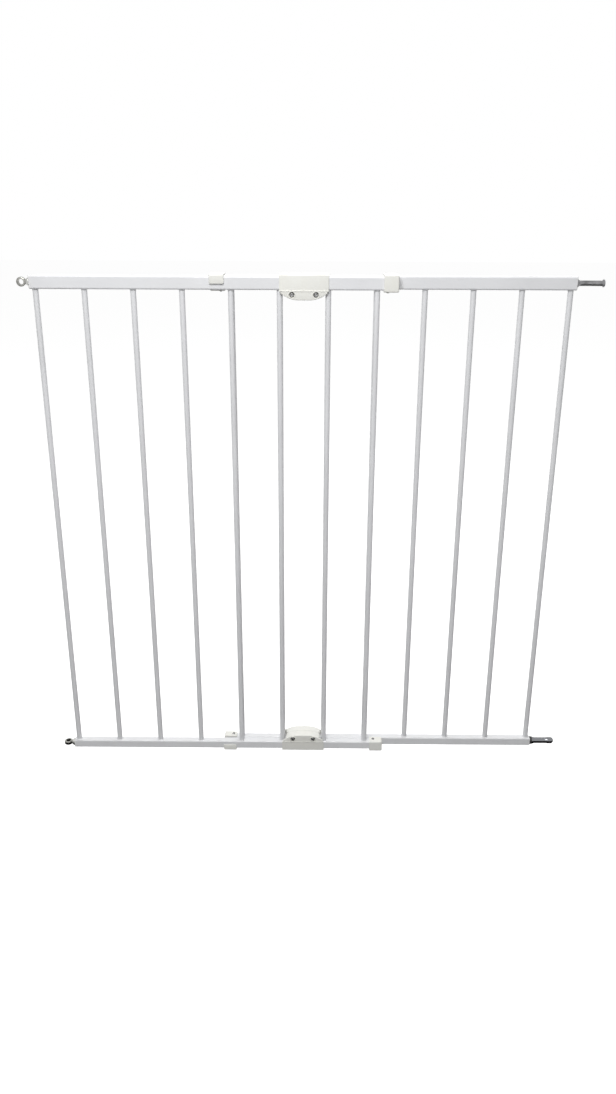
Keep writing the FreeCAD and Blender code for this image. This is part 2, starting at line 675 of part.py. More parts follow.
# Nothing is written unless every object and every shape is sound.
for item in doc.Objects:
    if "Invalid" in item.State or "Error" in item.State:
        raise RuntimeError(f"{item.Label} failed: {item.State}")
for feature, base in CUTS:
    if feature.Shape.Volume > base.Shape.Volume - 0.01:
        raise RuntimeError(f"{feature.Label} removed nothing")
for body in NODES:
    if body.Shape.isNull() or not body.Shape.isValid():
        raise RuntimeError(f"{body.Label} has no sound shape")
    if len(body.Shape.Solids) != 1:
        raise RuntimeError(f"{body.Label} is {len(body.Shape.Solids)} solids")
os.makedirs("parts", exist_ok=True)
for body in NODES:
    body.Shape.exportStep(os.path.join("parts", body.Label + ".step"))
print(len(NODES), "nodes written")
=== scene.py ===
"""Looks of an extra wide metal stair gate.

Two powder coated panels slide on each other. Moulded clamps and guides hold them
together, and plated eyes and latch pins stand out at the two ends.
"""

import logging
import math
from dataclasses import dataclass, field
from enum import Enum
from typing import ClassVar, Optional, Protocol, Sequence, Union

import bmesh
import bpy
from mathutils import Matrix, Vector


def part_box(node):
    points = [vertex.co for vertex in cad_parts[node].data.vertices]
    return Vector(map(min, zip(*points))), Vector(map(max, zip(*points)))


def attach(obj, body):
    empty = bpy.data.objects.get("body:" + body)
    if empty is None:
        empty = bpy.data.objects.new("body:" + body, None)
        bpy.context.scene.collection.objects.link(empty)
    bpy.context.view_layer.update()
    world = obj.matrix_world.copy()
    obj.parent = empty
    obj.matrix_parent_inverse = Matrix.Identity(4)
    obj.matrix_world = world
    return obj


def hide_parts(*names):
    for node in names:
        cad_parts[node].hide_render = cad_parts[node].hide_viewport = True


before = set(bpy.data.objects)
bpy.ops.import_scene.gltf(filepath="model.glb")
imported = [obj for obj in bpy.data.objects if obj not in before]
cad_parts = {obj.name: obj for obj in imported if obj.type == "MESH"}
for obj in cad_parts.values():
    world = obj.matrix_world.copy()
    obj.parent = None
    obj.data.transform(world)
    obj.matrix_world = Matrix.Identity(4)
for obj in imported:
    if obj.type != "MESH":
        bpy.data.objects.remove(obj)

LOG = logging.getLogger("stair_gate")
MM = 0.001
Socket = bpy.types.NodeSocket
Feed = Union[bpy.types.NodeSocket, float, tuple]


class Level(Enum):
    """The upper or the lower run of rails."""

    TOP = "top"
    BOTTOM = "bottom"

    @property
    def word(self) -> str:
        """Word used in the names of clamps, eyes and pins."""
        return "upper" if self is Level.TOP else "lower"

    @property
    def up(self) -> float:
        """1 where the clamp's dome hangs below the rail, -1 where it stands above it."""
        return 1.0 if self is Level.TOP else -1.0


class Side(Enum):
    """The front panel, which carries the hinges, or the back panel with the latch pins."""

    FRONT = "front"
    BACK = "back"

    @property
    def body(self) -> str:
        """CAD body that the panel's pieces ride on."""
        return "hinge_panel" if self is Side.FRONT else "latch_panel"


class Slot(Enum):
    """Material slots of the record."""

    COAT = "powder_coat"
    CAP = "cap_plastic"
    CREAM = "cream_plastic"
    PLATED = "plated_steel"
    SCREW = "chrome_screw"
    ZINC = "zinc"
    DULL = "dull_zinc"
    CHROME = "chrome"
    BLACK = "black_plastic"


@dataclass
class NodeDesk:
    """Adds nodes to one tree and joins them."""

    tree: bpy.types.NodeTree

    def add(self, kind: str, **settings: object) -> bpy.types.Node:
        """Adds a node.

        Args:
            kind: Node type name.
            **settings: Properties to set on the node.

        Returns:
            The new node.
        """
        node = self.tree.nodes.new(kind)
        for key, value in settings.items():
            setattr(node, key, value)
        return node

    def feed(self, source: Feed, target: Socket) -> None:
        """Links a socket, or sets a plain value, on a target socket.

        Args:
            source: Socket or value.
            target: Input socket.
        """
        if isinstance(source, bpy.types.NodeSocket):
            self.tree.links.new(source, target)
        else:
            target.default_value = source

    def maths(self, operation: str, a: Feed, b: Feed = 0.0, clamp: bool = False) -> Socket:
        """Adds a Math node.

        Args:
            operation: Operation name.
            a: First value.
            b: Second value.
            clamp: Whether the result is held between 0 and 1.

        Returns:
            The result's socket.
        """
        node = self.add("ShaderNodeMath", operation=operation, use_clamp=clamp)
        self.feed(a, node.inputs[0])
        self.feed(b, node.inputs[1])
        return node.outputs[0]

    def span(self, value: Feed, low: float, high: float, to_low: Feed = 0.0,
            to_high: Feed = 1.0) -> Socket:
        """Maps a value from one range to another and clamps it.

        Args:
            value: Value to map.
            low: Start of its range.
            high: End of its range.
            to_low: Result at the start.
            to_high: Result at the end.

        Returns:
            The mapped value's socket.
        """
        node = self.add("ShaderNodeMapRange", clamp=True)
        for source, name in ((value, "Value"), (low, "From Min"), (high, "From Max"),
                             (to_low, "To Min"), (to_high, "To Max")):
            self.feed(source, node.inputs[name])
        return node.outputs["Result"]

    def place(self, stretch: Sequence[float] = (1.0, 1.0, 1.0)) -> Socket:
        """Object coordinates, stretched along the axes.

        Args:
            stretch: Scale along x, y and z.

        Returns:
            The vector's socket.
        """
        where = self.add("ShaderNodeTexCoord").outputs["Object"]
        mapping = self.add("ShaderNodeMapping")
        self.feed(where, mapping.inputs["Vector"])
        mapping.inputs["Scale"].default_value = tuple(stretch)
        return mapping.outputs["Vector"]

    def noise(self, vector: Socket, scale: Feed, detail: float = 2.0,
            rough: float = 0.5) -> Socket:
        """Adds a Noise node.

        Args:
            vector: Where it is read.
            scale: Cycles per metre.
            detail: Octaves.
            rough: Share of the finer octaves.

        Returns:
            The noise value's socket.
        """
        node = self.add("ShaderNodeTexNoise")
        self.feed(vector, node.inputs["Vector"])
        self.feed(scale, node.inputs["Scale"])
        node.inputs["Detail"].default_value = detail
        node.inputs["Roughness"].default_value = rough
        return node.outputs[0]

    def tint(self, amount: Feed, base: Feed, other: Feed) -> Socket:
        """Mixes two colours.

        Args:
            amount: Share of the other colour.
            base: First colour.
            other: Second colour.

        Returns:
            The colour's socket.
        """
        node = self.add("ShaderNodeMix", data_type="RGBA")
        self.feed(amount, node.inputs[0])
        self.feed(base, node.inputs[6])
        self.feed(other, node.inputs[7])
        return node.outputs[2]

    def group(self, tree: bpy.types.NodeTree, **values: Feed) -> bpy.types.Node:
        """Places a node group.

        Args:
            tree: The group.
            **values: Input values by socket name, with _ for spaces.

        Returns:
            The group node.
        """
        node = self.add("ShaderNodeGroup", node_tree=tree)
        for key, value in values.items():
            self.feed(value, node.inputs[key.replace("_", " ")])
        return node


@dataclass
class Effects:
    """Node groups that several finishes use, each built once."""

    made: dict = field(default_factory=dict)

    def _start(self, name: str, inputs: Sequence[tuple], outputs: Sequence[str]) -> tuple:
        """Starts a group with its sockets.

        Args:
            name: Group name.
            inputs: (name, default, lowest, highest) of each float input.
            outputs: Names of the float outputs.

        Returns:
            The desk, the group's input node and its output node.
        """
        tree = bpy.data.node_groups.new(name, "ShaderNodeTree")
        for label, value, low, high in inputs:
            socket = tree.interface.new_socket(name=label, in_out="INPUT",
                    socket_type="NodeSocketFloat")
            socket.default_value, socket.min_value, socket.max_value = value, low, high
        for label in outputs:
            tree.interface.new_socket(name=label, in_out="OUTPUT", socket_type="NodeSocketFloat")
        desk = NodeDesk(tree)
        return desk, desk.add("NodeGroupInput"), desk.add("NodeGroupOutput")

    def orange_peel(self) -> bpy.types.NodeTree:
        """Fine waves of a sprayed and baked coat, with slow patches of gloss."""
        if "peel" not in self.made:
            desk, given, out = self._start("orange_peel", [("Scale", 420.0, 1.0, 5000.0)],
                    ["Height", "Patch"])
            spot = desk.place()
            fine = desk.noise(spot, given.outputs["Scale"], 2.0, 0.45)
            desk.feed(fine, out.inputs["Height"])
            slow = desk.noise(spot, 11.0, 3.0, 0.55)
            desk.feed(desk.span(slow, 0.3, 0.7), out.inputs["Patch"])
            self.made["peel"] = desk.tree
        return self.made["peel"]

    def edge_wear(self) -> bpy.types.NodeTree:
        """Mask of rubbed edges, broken up by noise."""
        if "wear" not in self.made:
            desk, given, out = self._start(
                "edge_wear", [("Radius", 0.0008, 0.0, 0.01), ("Amount", 0.5, 0.0, 1.0)], ["Mask"])
            soft = desk.add("ShaderNodeBevel", samples=4)
            desk.feed(given.outputs["Radius"], soft.inputs["Radius"])
            true = desk.add("ShaderNodeNewGeometry").outputs["Normal"]
            dot = desk.add("ShaderNodeVectorMath", operation="DOT_PRODUCT")
            desk.feed(soft.outputs[0], dot.inputs[0])
            desk.feed(true, dot.inputs[1])
            edge = desk.span(dot.outputs["Value"], 0.985, 0.86)
            broken = desk.span(desk.noise(desk.place(), 160.0, 4.0, 0.62), 0.44, 0.62)
            mask = desk.maths("MULTIPLY", edge, broken)
            desk.feed(desk.maths("MULTIPLY", mask, given.outputs["Amount"], clamp=True),
                    out.inputs["Mask"])
            self.made["wear"] = desk.tree
        return self.made["wear"]

    def settled_dust(self) -> bpy.types.NodeTree:
        """Mask of dust on faces that look up, thicker in slow patches."""
        if "dust" not in self.made:
            desk, given, out = self._start("settled_dust", [("Amount", 0.3, 0.0, 1.0)], ["Mask"])
            split = desk.add("ShaderNodeSeparateXYZ")
            desk.feed(desk.add("ShaderNodeNewGeometry").outputs["Normal"], split.inputs[0])
            upward = desk.span(split.outputs["Z"], 0.35, 0.95)
            patch = desk.span(desk.noise(desk.place(), 38.0, 5.0, 0.6), 0.36, 0.72)
            mask = desk.maths("MULTIPLY", upward, patch)
            desk.feed(desk.maths("MULTIPLY", mask, given.outputs["Amount"], clamp=True),
                    out.inputs["Mask"])
            self.made["dust"] = desk.tree
        return self.made["dust"]

    def hairlines(self) -> bpy.types.NodeTree:
        """Sparse fine scratches that run mostly along x."""
        if "hair" not in self.made:
            desk, given, out = self._start(
                "hairlines", [("Scale", 90.0, 1.0, 2000.0), ("Amount", 0.5, 0.0, 1.0)], ["Mask"])
            spot = desk.place((0.35, 1.0, 1.0))
            crack = desk.add("ShaderNodeTexVoronoi", feature="DISTANCE_TO_EDGE")
            desk.feed(spot, crack.inputs["Vector"])
            desk.feed(given.outputs["Scale"], crack.inputs["Scale"])
            line = desk.span(crack.outputs["Distance"], 0.012, 0.0)
            some = desk.span(desk.noise(spot, 24.0, 3.0, 0.6), 0.52, 0.66)
            mask = desk.maths("MULTIPLY", line, some)
            desk.feed(desk.maths("MULTIPLY", mask, given.outputs["Amount"], clamp=True),
                    out.inputs["Mask"])
            self.made["hair"] = desk.tree
        return self.made["hair"]

    def plating_grain(self) -> bpy.types.NodeTree:
        """Drawn streaks and cloudy patches of electroplated metal."""
        if "grain" not in self.made:
            desk, given, out = self._start(
                "plating_grain", [("Scale", 300.0, 1.0, 5000.0)], ["Streak", "Cloud", "Height"])
            drawn = desk.noise(desk.place((0.12, 1.0, 1.0)), given.outputs["Scale"], 3.0, 0.6)
            desk.feed(desk.span(drawn, 0.3, 0.7), out.inputs["Streak"])
            cloud = desk.noise(desk.place(), 120.0, 4.0, 0.6)
            desk.feed(desk.span(cloud, 0.3, 0.72), out.inputs["Cloud"])
            fine = desk.noise(desk.place(), 1500.0, 2.0, 0.5)
            desk.feed(desk.maths("ADD", desk.maths("MULTIPLY", drawn, 0.6), fine),
                    out.inputs["Height"])
            self.made["grain"] = desk.tree
        return self.made["grain"]


class Finish(Protocol):
    """A finish that can build its material."""

    slot: Slot

    def build(self, effects: Effects) -> bpy.types.Material:
        """Builds the material."""


def new_material(name: str) -> tuple:
    """Makes an empty node material with a Principled shader.

    Args:
        name: Material name.

    Returns:
        The material, its desk and the shader node.
    """
    material = bpy.data.materials.new(name)
    material.use_nodes = True
    material.node_tree.nodes.clear()
    desk = NodeDesk(material.node_tree)
    shader = desk.add("ShaderNodeBsdfPrincipled")
    desk.feed(shader.outputs[0], desk.add("ShaderNodeOutputMaterial").inputs["Surface"])
    return material, desk, shader


def bump(desk: NodeDesk, height: Socket, shader: bpy.types.Node, strength: float,
        depth: float) -> None:
    """Feeds a height into the shader's normal.

    Args:
        desk: Desk of the material.
        height: Height socket.
        shader: Principled node.
        strength: Strength of the bump.
        depth: Height of one unit, in metres.
    """
    node = desk.add("ShaderNodeBump")
    node.inputs["Strength"].default_value = strength
    node.inputs["Distance"].default_value = depth
    desk.feed(height, node.inputs["Height"])
    desk.feed(node.outputs[0], shader.inputs["Normal"])


@dataclass(frozen=True)
class CoatFinish:
    """Semi-gloss white powder coat, lightly rubbed and dusty."""

    slot: Slot = Slot.COAT
    colour: tuple = (0.800, 0.806, 0.824, 1.0)
    shade: tuple = (0.745, 0.750, 0.765, 1.0)
    dust: tuple = (0.620, 0.600, 0.560, 1.0)
    steel: tuple = (0.420, 0.420, 0.410, 1.0)
    roughness: tuple = (0.30, 0.44)

    def build(self, effects: Effects) -> bpy.types.Material:
        """Builds the material.

        Args:
            effects: Shared node groups.

        Returns:
            The material.
        """
        material, desk, shader = new_material(self.slot.value)
        peel = desk.group(effects.orange_peel(), Scale=420.0)
        wear = desk.group(effects.edge_wear(), Radius=0.0007, Amount=0.32)
        hair = desk.group(effects.hairlines(), Scale=70.0, Amount=0.22)
        dust = desk.group(effects.settled_dust(), Amount=0.16)
        colour = desk.tint(peel.outputs["Patch"], self.colour, self.shade)
        colour = desk.tint(dust.outputs["Mask"], colour, self.dust)
        colour = desk.tint(hair.outputs["Mask"], colour, self.dust)
        colour = desk.tint(wear.outputs["Mask"], colour, self.steel)
        desk.feed(colour, shader.inputs["Base Color"])
        rough = desk.span(peel.outputs["Patch"], 0.0, 1.0, *self.roughness)
        rough = desk.maths("ADD", rough, desk.maths("MULTIPLY", dust.outputs["Mask"], 1.2),
                clamp=True)
        desk.feed(rough, shader.inputs["Roughness"])
        shader.inputs["Coat Weight"].default_value = 0.15
        shader.inputs["Coat Roughness"].default_value = 0.25
        bump(desk, peel.outputs["Height"], shader, 0.35, 0.00012)
        return material


@dataclass(frozen=True)
class MouldedFinish:
    """Moulded plastic with a fine spark-eroded texture and faint yellowing."""

    slot: Slot
    colour: tuple
    aged: tuple
    roughness: tuple = (0.38, 0.52)
    grain: float = 0.3
    worn: float = 0.12

    def build(self, effects: Effects) -> bpy.types.Material:
        """Builds the material.

        Args:
            effects: Shared node groups.

        Returns:
            The material.
        """
        material, desk, shader = new_material(self.slot.value)
        spot = desk.place()
        cloud = desk.span(desk.noise(spot, 28.0, 4.0, 0.55), 0.32, 0.72)
        dust = desk.group(effects.settled_dust(), Amount=0.14)
        wear = desk.group(effects.edge_wear(), Radius=0.0006, Amount=self.worn)
        hair = desk.group(effects.hairlines(), Scale=130.0, Amount=0.16)
        grime = tuple(0.72 * part for part in self.aged[:3]) + (1.0,)
        colour = desk.tint(cloud, self.colour, self.aged)
        colour = desk.tint(dust.outputs["Mask"], colour, grime)
        colour = desk.tint(hair.outputs["Mask"], colour, grime)
        colour = desk.tint(wear.outputs["Mask"], colour, (0.93, 0.93, 0.91, 1.0))
        desk.feed(colour, shader.inputs["Base Color"])
        desk.feed(desk.span(cloud, 0.0, 1.0, *self.roughness), shader.inputs["Roughness"])
        shader.inputs["IOR"].default_value = 1.49
        bump(desk, desk.noise(spot, 1400.0, 2.0, 0.5), shader, self.grain, 0.00006)
        return material


@dataclass(frozen=True)
class PlatedFinish:
    """Electroplated steel with drawn streaks, clouds and dull spots."""

    slot: Slot
    bright: tuple
    dull: tuple
    roughness: tuple
    scale: float = 300.0
    relief: float = 0.3
    tarnish: float = 0.5

    def build(self, effects: Effects) -> bpy.types.Material:
        """Builds the material.

        Args:
            effects: Shared node groups.

        Returns:
            The material.
        """
        material, desk, shader = new_material(self.slot.value)
        grain = desk.group(effects.plating_grain(), Scale=self.scale)
        hair = desk.group(effects.hairlines(), Scale=160.0, Amount=0.5)
        wear = desk.group(effects.edge_wear(), Radius=0.0005, Amount=0.5)
        part = desk.maths("MULTIPLY", grain.outputs["Cloud"], self.tarnish)
        part = desk.maths("ADD", part, desk.maths("MULTIPLY", grain.outputs["Streak"], 0.35),
                clamp=True)
        colour = desk.tint(part, self.bright, self.dull)
        colour = desk.tint(hair.outputs["Mask"], colour, self.dull)
        colour = desk.tint(wear.outputs["Mask"], colour, (0.80, 0.80, 0.79, 1.0))
        desk.feed(colour, shader.inputs["Base Color"])
        shader.inputs["Metallic"].default_value = 1.0
        rough = desk.span(part, 0.0, 1.0, *self.roughness)
        desk.feed(rough, shader.inputs["Roughness"])
        bump(desk, grain.outputs["Height"], shader, self.relief, 0.00004)
        return material


FINISHES: tuple[Finish, ...] = (
    CoatFinish(),
    MouldedFinish(Slot.CAP, (0.800, 0.806, 0.820, 1.0), (0.760, 0.758, 0.750, 1.0)),
    MouldedFinish(Slot.CREAM, (0.840, 0.840, 0.800, 1.0), (0.808, 0.802, 0.750, 1.0)),
    PlatedFinish(Slot.PLATED, (0.60, 0.60, 0.58, 1.0), (0.42, 0.42, 0.40, 1.0), (0.28, 0.48)),
    PlatedFinish(Slot.SCREW, (0.34, 0.34, 0.34, 1.0), (0.20, 0.20, 0.20, 1.0), (0.14, 0.32),
            relief=0.12),
    PlatedFinish(Slot.ZINC, (0.56, 0.56, 0.52, 1.0), (0.16, 0.16, 0.15, 1.0), (0.14, 0.40),
            tarnish=0.8),
    PlatedFinish(Slot.DULL, (0.36, 0.36, 0.37, 1.0), (0.12, 0.12, 0.12, 1.0), (0.24, 0.42),
            tarnish=0.75),
    # The chrome's colours are kept far darker than real chrome: painted dark reflection of the
    # surroundings, so the pin shows against the white surround.
    PlatedFinish(Slot.CHROME, (0.27, 0.275, 0.29, 1.0), (0.17, 0.175, 0.185, 1.0), (0.08, 0.18),
            relief=0.06, tarnish=0.3),
    MouldedFinish(Slot.BLACK, (0.020, 0.020, 0.021, 1.0), (0.035, 0.034, 0.032, 1.0), grain=0.4,
            worn=0.02),
)


@dataclass
class Paint:
    """Materials of all the slots."""

    effects: Effects = field(default_factory=Effects)
    made: dict = field(default_factory=dict)

    def build(self) -> None:
        """Builds every finish."""
        for finish in FINISHES:
            self.made[finish.slot] = finish.build(self.effects)
            LOG.info("finish %s", finish.slot.value)

    def dress_node(self, name: str, slot: Slot) -> None:
        """Gives a CAD node its finish.

        Args:
            name: CAD node name.
            slot: Material slot.
        """
        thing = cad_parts[name]
        if not thing.material_slots:
            thing.data.materials.append(self.made[slot])
        for place in thing.material_slots:
            place.material = self.made[slot]
        LOG.info("node %s wears %s", name, slot.value)


@dataclass
class Shop:
    """Turns finished bmeshes into pieces that ride on the frame."""

    paint: Paint
    crease: ClassVar[float] = math.radians(38.0)

    def piece(self, bm: bmesh.types.BMesh, name: str, body: str, slot: Slot,
            stands_for: Sequence[str] = ()) -> bpy.types.Object:
        """Makes an object from a bmesh and hands it to the frame.

        Args:
            bm: The mesh, which is freed.
            name: Piece name.
            body: CAD body that it rides on.
            slot: Material slot.
            stands_for: CAD nodes that it replaces.

        Returns:
            The object.
        """
        bmesh.ops.recalc_face_normals(bm, faces=bm.faces[:])
        for face in bm.faces:
            face.smooth = True
        for edge in bm.edges:
            edge.smooth = len(edge.link_faces) == 2 and edge.calc_face_angle(0.0) < self.crease
        mesh = bpy.data.meshes.new(name)
        bm.to_mesh(mesh)
        bm.free()
        mesh.materials.append(self.paint.made[slot])
        thing = bpy.data.objects.new(name, mesh)
        bpy.context.scene.collection.objects.link(thing)
        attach(thing, body)
        if stands_for:
            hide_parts(*stands_for)
        LOG.info("piece %s rides on %s", name, body)
        return thing

    def softened(self, node: str, radius: float, segments: int = 3,
            sharp: float = 35.0) -> bmesh.types.BMesh:
        """Copies a CAD node, merges it and rounds its sharp edges.

        Args:
            node: CAD node name.
            radius: Rounding in metres.
            segments: Steps of the rounding.
            sharp: Smallest angle that counts as an edge, in degrees.

        Returns:
            The rounded copy.
        """
        bm = bmesh.new()
        bm.from_mesh(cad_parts[node].data)
        bmesh.ops.remove_doubles(bm, verts=bm.verts[:], dist=2e-6)
        bmesh.ops.dissolve_degenerate(bm, dist=1e-6, edges=bm.edges[:])
        bmesh.ops.dissolve_limit(bm, angle_limit=math.radians(1.5), verts=bm.verts[:],
                edges=bm.edges[:])
        limit = math.radians(sharp)
        edges = [e for e in bm.edges if len(e.link_faces) == 2 and e.calc_face_angle(0.0) > limit]
        bmesh.ops.bevel(bm, geom=edges, offset=radius, offset_type="OFFSET", segments=segments,
                        profile=0.5, affect="EDGES", clamp_overlap=True, material=-1)
        return bm


@dataclass
class Outline:
    """A line of edges drawn in the plane of the rails, seen from the front."""

    bm: bmesh.types.BMesh
    centre: Vector
    up: float
    y: float
    last: Optional[bmesh.types.BMVert] = None
    first: Optional[bmesh.types.BMVert] = None

    def at(self, u: float, w: float) -> Vector:
        """Point at u across and w towards the crest, in millimetres from the centre."""
        return Vector((self.centre.x + u * MM, self.y, self.centre.z + w * self.up * MM))

    def to(self, u: float, w: float) -> "Outline":
        """Draws a straight edge.

        Args:
            u: Millimetres across.
            w: Millimetres towards the crest.

        Returns:
            The outline.
        """
        vert = self.bm.verts.new(self.at(u, w))
        if self.last is not None:
            self.bm.edges.new((self.last, vert))
        else:
            self.first = vert
        self.last = vert
        return self

    def swing(self, u: float, w: float, degrees: float, steps: int) -> "Outline":
        """Draws an arc about a centre.

        Args:
            u: Centre, millimetres across.
            w: Centre, millimetres towards the crest.
            degrees: Turn, counted with the crest up.
            steps: Number of edges.

        Returns:
            The outline.
        """
        made = bmesh.ops.spin(self.bm, geom=[self.last], cent=self.at(u, w),
                axis=(0.0, -1.0, 0.0),
                              angle=math.radians(degrees) * self.up, steps=steps,
                              use_duplicate=False)
        self.last = [item for item in made["geom_last"] if isinstance(item,
                bmesh.types.BMVert)][0]
        return self

    def close(self) -> list:
        """Joins the last point to the first and returns all the outline's edges."""
        self.bm.edges.new((self.last, self.first))
        return self.bm.edges[:]


@dataclass
class Panel:
    """Rails, bars and end caps of one panel, with the weld beads at the bar ends."""

    side: Side
    bars: int = 8
    bar_radius: float = 4.75
    bead_spread: float = 1.55
    bead_rise: float = 1.9

    def dress(self, paint: Paint) -> None:
        """Gives the panel's CAD nodes their finishes.

        Args:
            paint: Materials.
        """
        for level in Level:
            paint.dress_node(f"{self.side.value}_{level.value}_rail", Slot.COAT)
            end = "hinge" if self.side is Side.FRONT else "latch"
            paint.dress_node(f"{level.word}_{end}_cap", Slot.CAP)
            paint.dress_node(f"{level.word}_{end}_insert", Slot.PLATED)
        for number in range(1, self.bars + 1):
            paint.dress_node(f"{self.side.value}_bar_{number}", Slot.COAT)

    def build(self, shop: Shop) -> None:
        """Makes the weld beads where the bars enter each rail.

        Args:
            shop: Piece maker.
        """
        for level in Level:
            low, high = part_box(f"{self.side.value}_{level.value}_rail")
            face = low.z if level is Level.TOP else high.z
            bm = bmesh.new()
            for number in range(1, self.bars + 1):
                start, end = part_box(f"{self.side.value}_bar_{number}")
                middle = (start + end) / 2
                self._bead(bm, Vector((middle.x, middle.y, face)), -level.up, number)
            shop.piece(bm, f"{self.side.value}_{level.value}_weld_beads", self.side.body,
                    Slot.COAT)

    def _bead(self, bm: bmesh.types.BMesh, spot: Vector, away: float, number: int) -> None:
        """Spins one fillet bead round a bar.

        Args:
            bm: Mesh to add to.
            spot: Centre of the bar on the rail's face.
            away: 1 if the bar leaves upwards, -1 if downwards.
            number: Bar number, which varies the bead a little.
        """
        swell = 1.0 + 0.10 * math.sin(2.4 * number)
        r, s, h = self.bar_radius, self.bead_spread * swell, self.bead_rise * swell
        profile = [(r - 0.05, -0.05), (r + s, -0.05), (r + s, 0.12), (r + 0.62 * s, 0.30),
                (r + 0.32 * s, 0.30 * h + 0.25),
                   (r + 0.14 * s, 0.66 * h), (r + 0.05, h), (r - 0.05, h)]
        verts = [bm.verts.new(spot + Vector((a * MM, 0.0, b * away * MM))) for a, b in profile]
        edges = [bm.edges.new((verts[k], verts[(k + 1) % len(verts)])) for k in range(len(verts))]
        bmesh.ops.spin(bm, geom=verts + edges, cent=spot, axis=(0.0, 0.0, 1.0), angle=math.tau,
                       steps=24, use_merge=True, use_duplicate=False)


@dataclass
class CentreClamp:
    """Two moulded shells round both rails, screwed together through a dome between the bars."""

    level: Level
    half_width: float = 41.25
    face: float = 8.05
    wall: float = 2.6
    inset: float = 0.9
    crest_radius: float = 2.2
    dome_half: float = 39.2
    web_half: float = 33.2
    flat_half: float = 8.0
    dome_depth: float = 16.0
    dome_radius: float = 48.0
    screw_half: float = 20.0
    screw_drop: float = 7.3
    pocket_radius: float = 5.0
    pocket_depth: float = 3.2
    shank_radius: float = 2.15
    slot_lip: float = 1.2
    slot_half: float = 2.4
    channel_half: float = 3.7
    channel_depth: float = 1.9

    def dress(self, paint: Paint) -> None:
        """Gives the nut strip its finish.

        Args:
            paint: Materials.
        """
        paint.dress_node(f"{self.level.word}_clamp_nut_strip", Slot.PLATED)

    def build(self, shop: Shop) -> None:
        """Makes the shells and screws.

        Args:
            shop: Piece maker.
        """
        word = self.level.word
        low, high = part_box(f"{word}_clamp_front")
        rail_low, rail_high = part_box(f"front_{self.level.value}_rail")
        self.half = (rail_high.z - rail_low.z) / 2 / MM
        self.centre = Vector(((low.x + high.x) / 2, (rail_low.y + rail_high.y) / 2,
                (rail_low.z + rail_high.z) / 2))
        self.inner = max(high.y, low.y) / MM
        bm = bmesh.new()
        self._band(bm)
        self._ridge(bm, -self.face - self.wall, 1.0)
        self._dome_plate(bm)
        self._web(bm)
        for sign in (-1.0, 1.0):
            self._boss_rim(bm, sign * self.screw_half)
        shop.piece(bm, f"{word}_clamp_front_shell", Side.FRONT.body, Slot.CREAM,
                [f"{word}_clamp_front"])
        rear = self._rear(word)
        shop.piece(rear, f"{word}_clamp_rear_shell", Side.BACK.body, Slot.CREAM,
                [f"{word}_clamp_rear"])
        for number in (1, 2):
            screw = shop.softened(f"{word}_clamp_screw_{number}", 0.22 * MM, 2)
            shop.piece(screw, f"{word}_clamp_cross_screw_{number}", Side.FRONT.body, Slot.SCREW,
                       [f"{word}_clamp_screw_{number}"])

    def _rear(self, word: str) -> bmesh.types.BMesh:
        """Makes the rear shell, a mirror image with an open channel for the nut strip.

        Args:
            word: The level's word.

        Returns:
            The shell.
        """
        bm = bmesh.new()
        self._band(bm)
        self._ridge(bm, -self.face - self.wall, 1.0)
        self._dome_plate(bm, drilled=False)
        near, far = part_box(f"{word}_clamp_rear")
        mirror = near.y + self.inner * MM
        lip = self.inner - self.slot_lip
        floor = lip - self.channel_depth
        self._web_layer(bm, self.inner, lip, self.slot_half)
        self._web_layer(bm, lip, floor, self.channel_half)
        self._web_layer(bm, floor, -self.face - self.wall + self.pocket_depth, 0.0)
        bmesh.ops.scale(bm, vec=(1.0, -1.0, 1.0), verts=bm.verts[:])
        bmesh.ops.translate(bm, vec=(0.0, mirror, 0.0), verts=bm.verts[:])
        return bm

    def _web_layer(self, bm: bmesh.types.BMesh, front: float, back: float, gap: float) -> None:
        """Makes one layer of the rear web, split by the channel if it has a gap.

        Args:
            bm: The shell.
            front: First face.
            back: Second face.
            gap: Half the channel's height, 0 for a whole layer.
        """
        level = self.centre.z - (self.half + self.screw_drop) * self.level.up * MM
        for way in (-1.0, 1.0) if gap else (0.0,):
            part = self._drilled_plate(self.web_half, front, back, -self.half - 0.3, 0.0)
            if way:
                bmesh.ops.bisect_plane(part, geom=part.verts[:] + part.edges[:] + part.faces[:],
                                       plane_co=(0.0, 0.0, level + way * gap * MM),
                                       plane_no=(0.0, 0.0, -way),
                                       clear_outer=True)
                bmesh.ops.holes_fill(part, edges=part.edges[:], sides=0)
            self._merge(bm, part)

    def _merge(self, bm: bmesh.types.BMesh, part: bmesh.types.BMesh) -> None:
        """Adds a part's mesh to the shell's.

        Args:
            bm: The shell.
            part: The part, which is freed.
        """
        bmesh.ops.recalc_face_normals(part, faces=part.faces[:])
        mesh = bpy.data.meshes.new("clamp_part")
        part.to_mesh(mesh)
        part.free()
        bm.from_mesh(mesh)
        bpy.data.meshes.remove(mesh)

    def _band(self, bm: bmesh.types.BMesh) -> None:
        """Sweeps the front wall and the lid over the rail, with a round outer corner.

        Args:
            bm: The shell.
        """
        part = bmesh.new()
        up, cx, cz = self.level.up, self.centre.x, self.centre.z
        front, back = -self.face - self.wall + self.inset, -self.face
        roof, crest = self.half + 0.3, self.half + 2.9

        def vert(y: float, w: float) -> bmesh.types.BMVert:
            """Adds a point of the cross-section."""
            return part.verts.new((cx - self.half_width * MM, y * MM, cz + w * up * MM))

